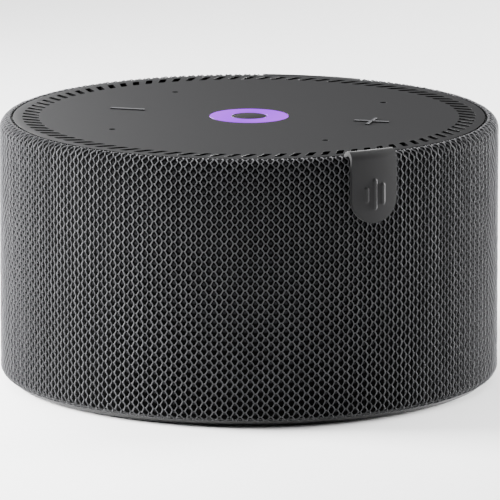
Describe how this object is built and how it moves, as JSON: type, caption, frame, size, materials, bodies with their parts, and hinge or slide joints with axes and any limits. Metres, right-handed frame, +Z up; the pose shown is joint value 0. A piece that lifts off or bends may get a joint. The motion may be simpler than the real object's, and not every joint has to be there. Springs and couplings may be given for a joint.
{
  "type": "smart home hub",
  "caption": "Round fabric-wrapped smart home hub with a slotted touch top, a lit ring, a soft tag, and a rear panel with a power inlet and a mute button.",
  "frame": {"origin": "middle of the foot's underside, on the axis of the round body", "axes": "+Z up along the body's axis, -Y the front, +Y the rear panel with the port and the mute button, +X the plus sign of the touch top"},
  "size_m": [0.098, 0.098, 0.0533],
  "materials": {
    "top_plastic": "fine-textured moulded ABS, dark grey",
    "lit_guide": "translucent light guide, lit violet",
    "knit_fabric": "open warp-knit net in grey yarn over a dark backing",
    "black_plastic": "moulded ABS, black",
    "soft_rubber": "matt silicone rubber",
    "tag_silicone": "soft-touch silicone, dark grey",
    "nickel_plate": "nickel-plated sheet steel",
    "steel": "zinc-plated steel",
    "aluminium": "milled aluminium",
    "copper": "enamelled copper",
    "ferrite": "sintered ferrite",
    "cone_paper": "pressed paper, black",
    "spider_cloth": "resin-dipped woven cloth",
    "circuit_board": "glass-epoxy board with solder mask",
    "chip_black": "black moulding compound",
    "led_white": "white surface-mount package",
    "foam": "closed-cell foam",
    "thermal_grey": "soft silicone gap pad",
    "ribbon_white": "flat flexible cable",
    "switch_red": "red plastic"
  },
  "bodies": {
    "housing": {"top_panel": "top_plastic", "light_ring": "lit_guide", "centre_cap": "top_plastic", "fabric_sleeve": "knit_fabric", "side_shell": "black_plastic", "base_plate": "black_plastic", "foot_pad": "soft_rubber", "rear_panel": "top_plastic", "usb_receptacle": "nickel_plate", "usb_tongue": "chip_black", "mute_switch": "chip_black", "button_board": "circuit_board", "tag_root": "tag_silicone", "chamber_cup": "black_plastic", "chamber_lid": "black_plastic", "base_screw_1": "steel", "base_screw_2": "steel", "base_screw_3": "steel", "driver_screw_1": "steel", "driver_screw_2": "steel", "driver_screw_3": "steel", "driver_screw_4": "steel", "speaker_basket": "steel", "speaker_gasket": "foam", "motor_washer": "steel", "ring_magnet": "ferrite", "yoke": "steel", "surround": "soft_rubber", "spider": "spider_cloth", "main_board": "circuit_board", "processor": "chip_black", "thermal_pad": "thermal_grey", "shield_can": "nickel_plate", "heat_spreader": "aluminium", "touch_board": "circuit_board", "status_led_1": "led_white", "status_led_2": "led_white", "status_led_3": "led_white", "status_led_4": "led_white", "microphone_1": "nickel_plate", "microphone_2": "nickel_plate", "microphone_3": "nickel_plate", "microphone_4": "nickel_plate", "mic_boot_1": "soft_rubber", "mic_boot_2": "soft_rubber", "mic_boot_3": "soft_rubber", "mic_boot_4": "soft_rubber", "minus_touch_pad": "foam", "plus_touch_pad": "foam", "ribbon_cable": "ribbon_white", "lead_red": "switch_red", "lead_black": "black_plastic", "antenna": "copper"},
    "mute_button": {"mute_button": "top_plastic", "switch_plunger": "switch_red"},
    "cone": {"speaker_cone": "cone_paper", "dust_cap": "cone_paper", "voice_coil": "copper"},
    "tag": {"tag_flap": "tag_silicone"}
  },
  "joints": [
    {"name": "mute_button_press", "type": "slide", "parent": "housing", "child": "mute_button", "axis": [0, -1, 0], "range_m": [0, 0.0006], "stiffness_N_per_m": 2000},
    {"name": "cone_travel", "type": "slide", "parent": "housing", "child": "cone", "axis": [0, 0, 1], "range_m": [-0.002, 0.002], "stiffness_N_per_m": 1500, "deforming": ["surround", "spider"]},
    {"name": "tag_flex", "type": "hinge", "parent": "housing", "child": "tag", "pos_m": [0.03493, -0.03542, 0.05142], "axis": [-0.712, -0.7022, 0], "range_deg": [0, 25], "stiffness_Nm_per_rad": 0.002}
  ]
}
